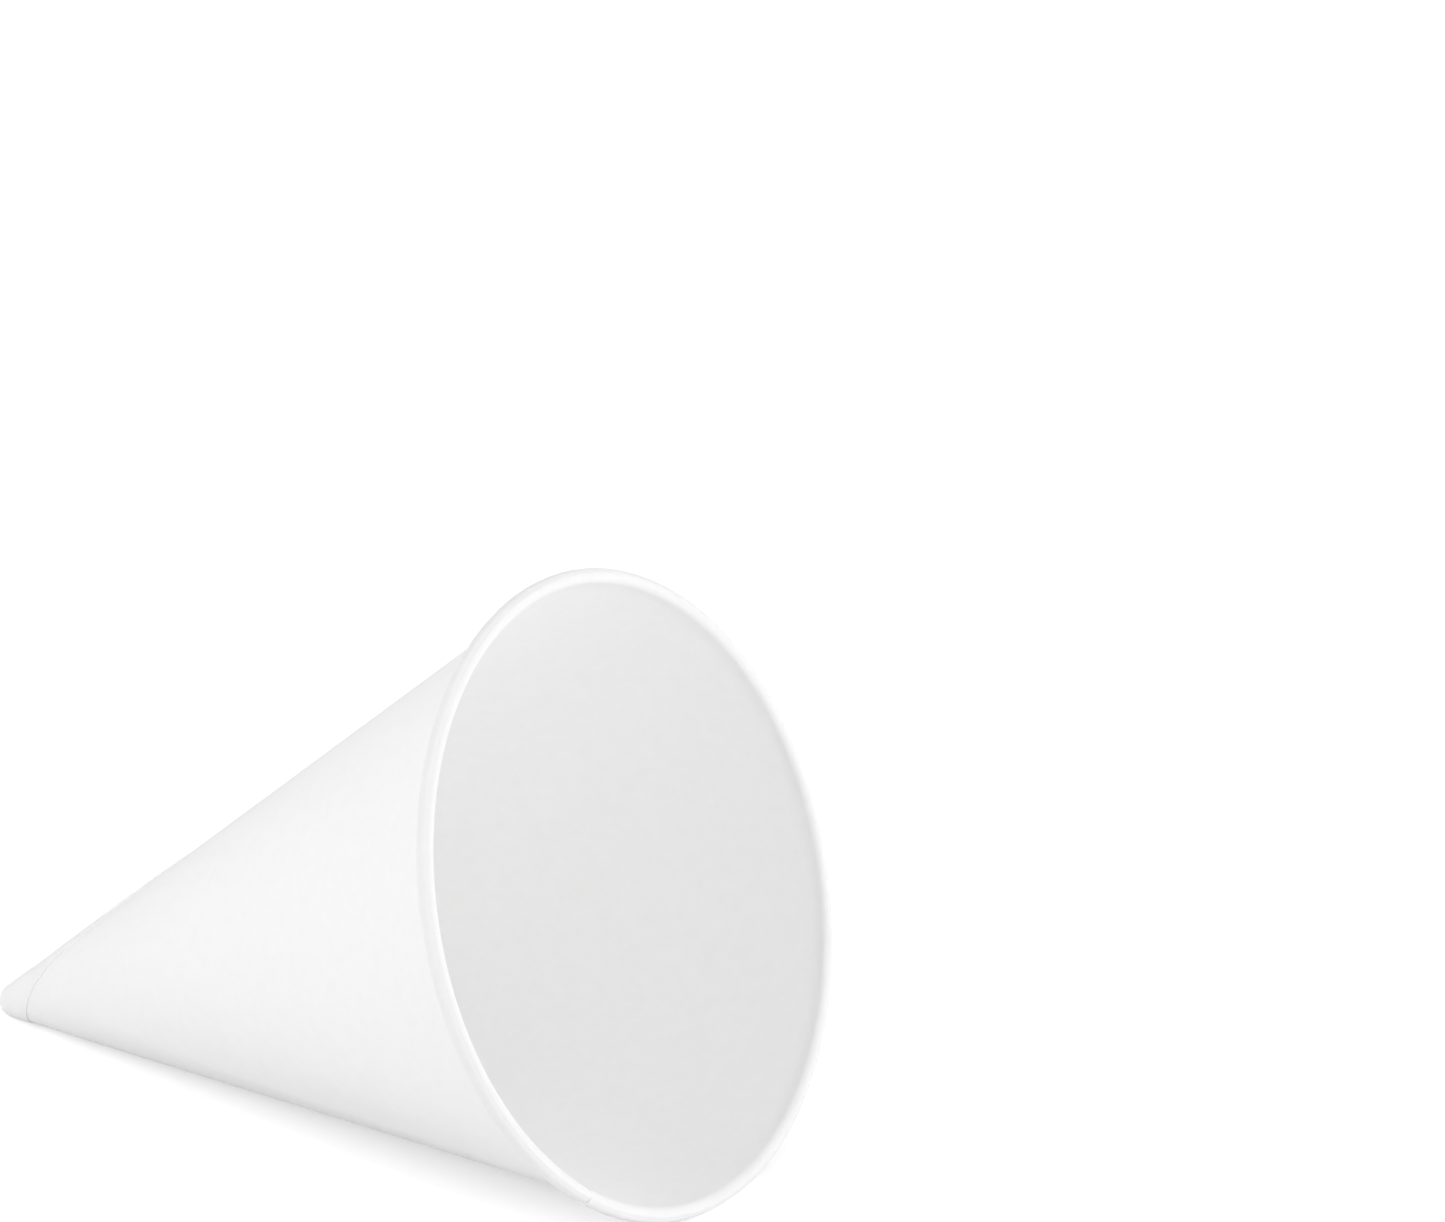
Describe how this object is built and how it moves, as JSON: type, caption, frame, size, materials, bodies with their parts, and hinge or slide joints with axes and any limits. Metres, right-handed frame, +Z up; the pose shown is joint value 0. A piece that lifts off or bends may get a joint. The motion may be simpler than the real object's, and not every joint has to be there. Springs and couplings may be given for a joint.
{
  "type": "cone paper cup",
  "caption": "Cone-shaped paper drinking cup with a rolled rim, wound from one lapped blank and closed at its tip, lying on its side.",
  "frame": {"origin": "middle of the cup's footprint as it lies, on the surface it lies on", "axes": "+Z up from that surface; the mouth opens towards +X and upwards, the tip points to -X; the cup's own axis lies in the XZ plane, raised 20.1 degrees towards the mouth"},
  "size_m": [0.1018, 0.074, 0.0684],
  "materials": {
    "paper": "matte"
  },
  "bodies": {
    "root": {"cone_cup": "paper"}
  },
  "joints": []
}
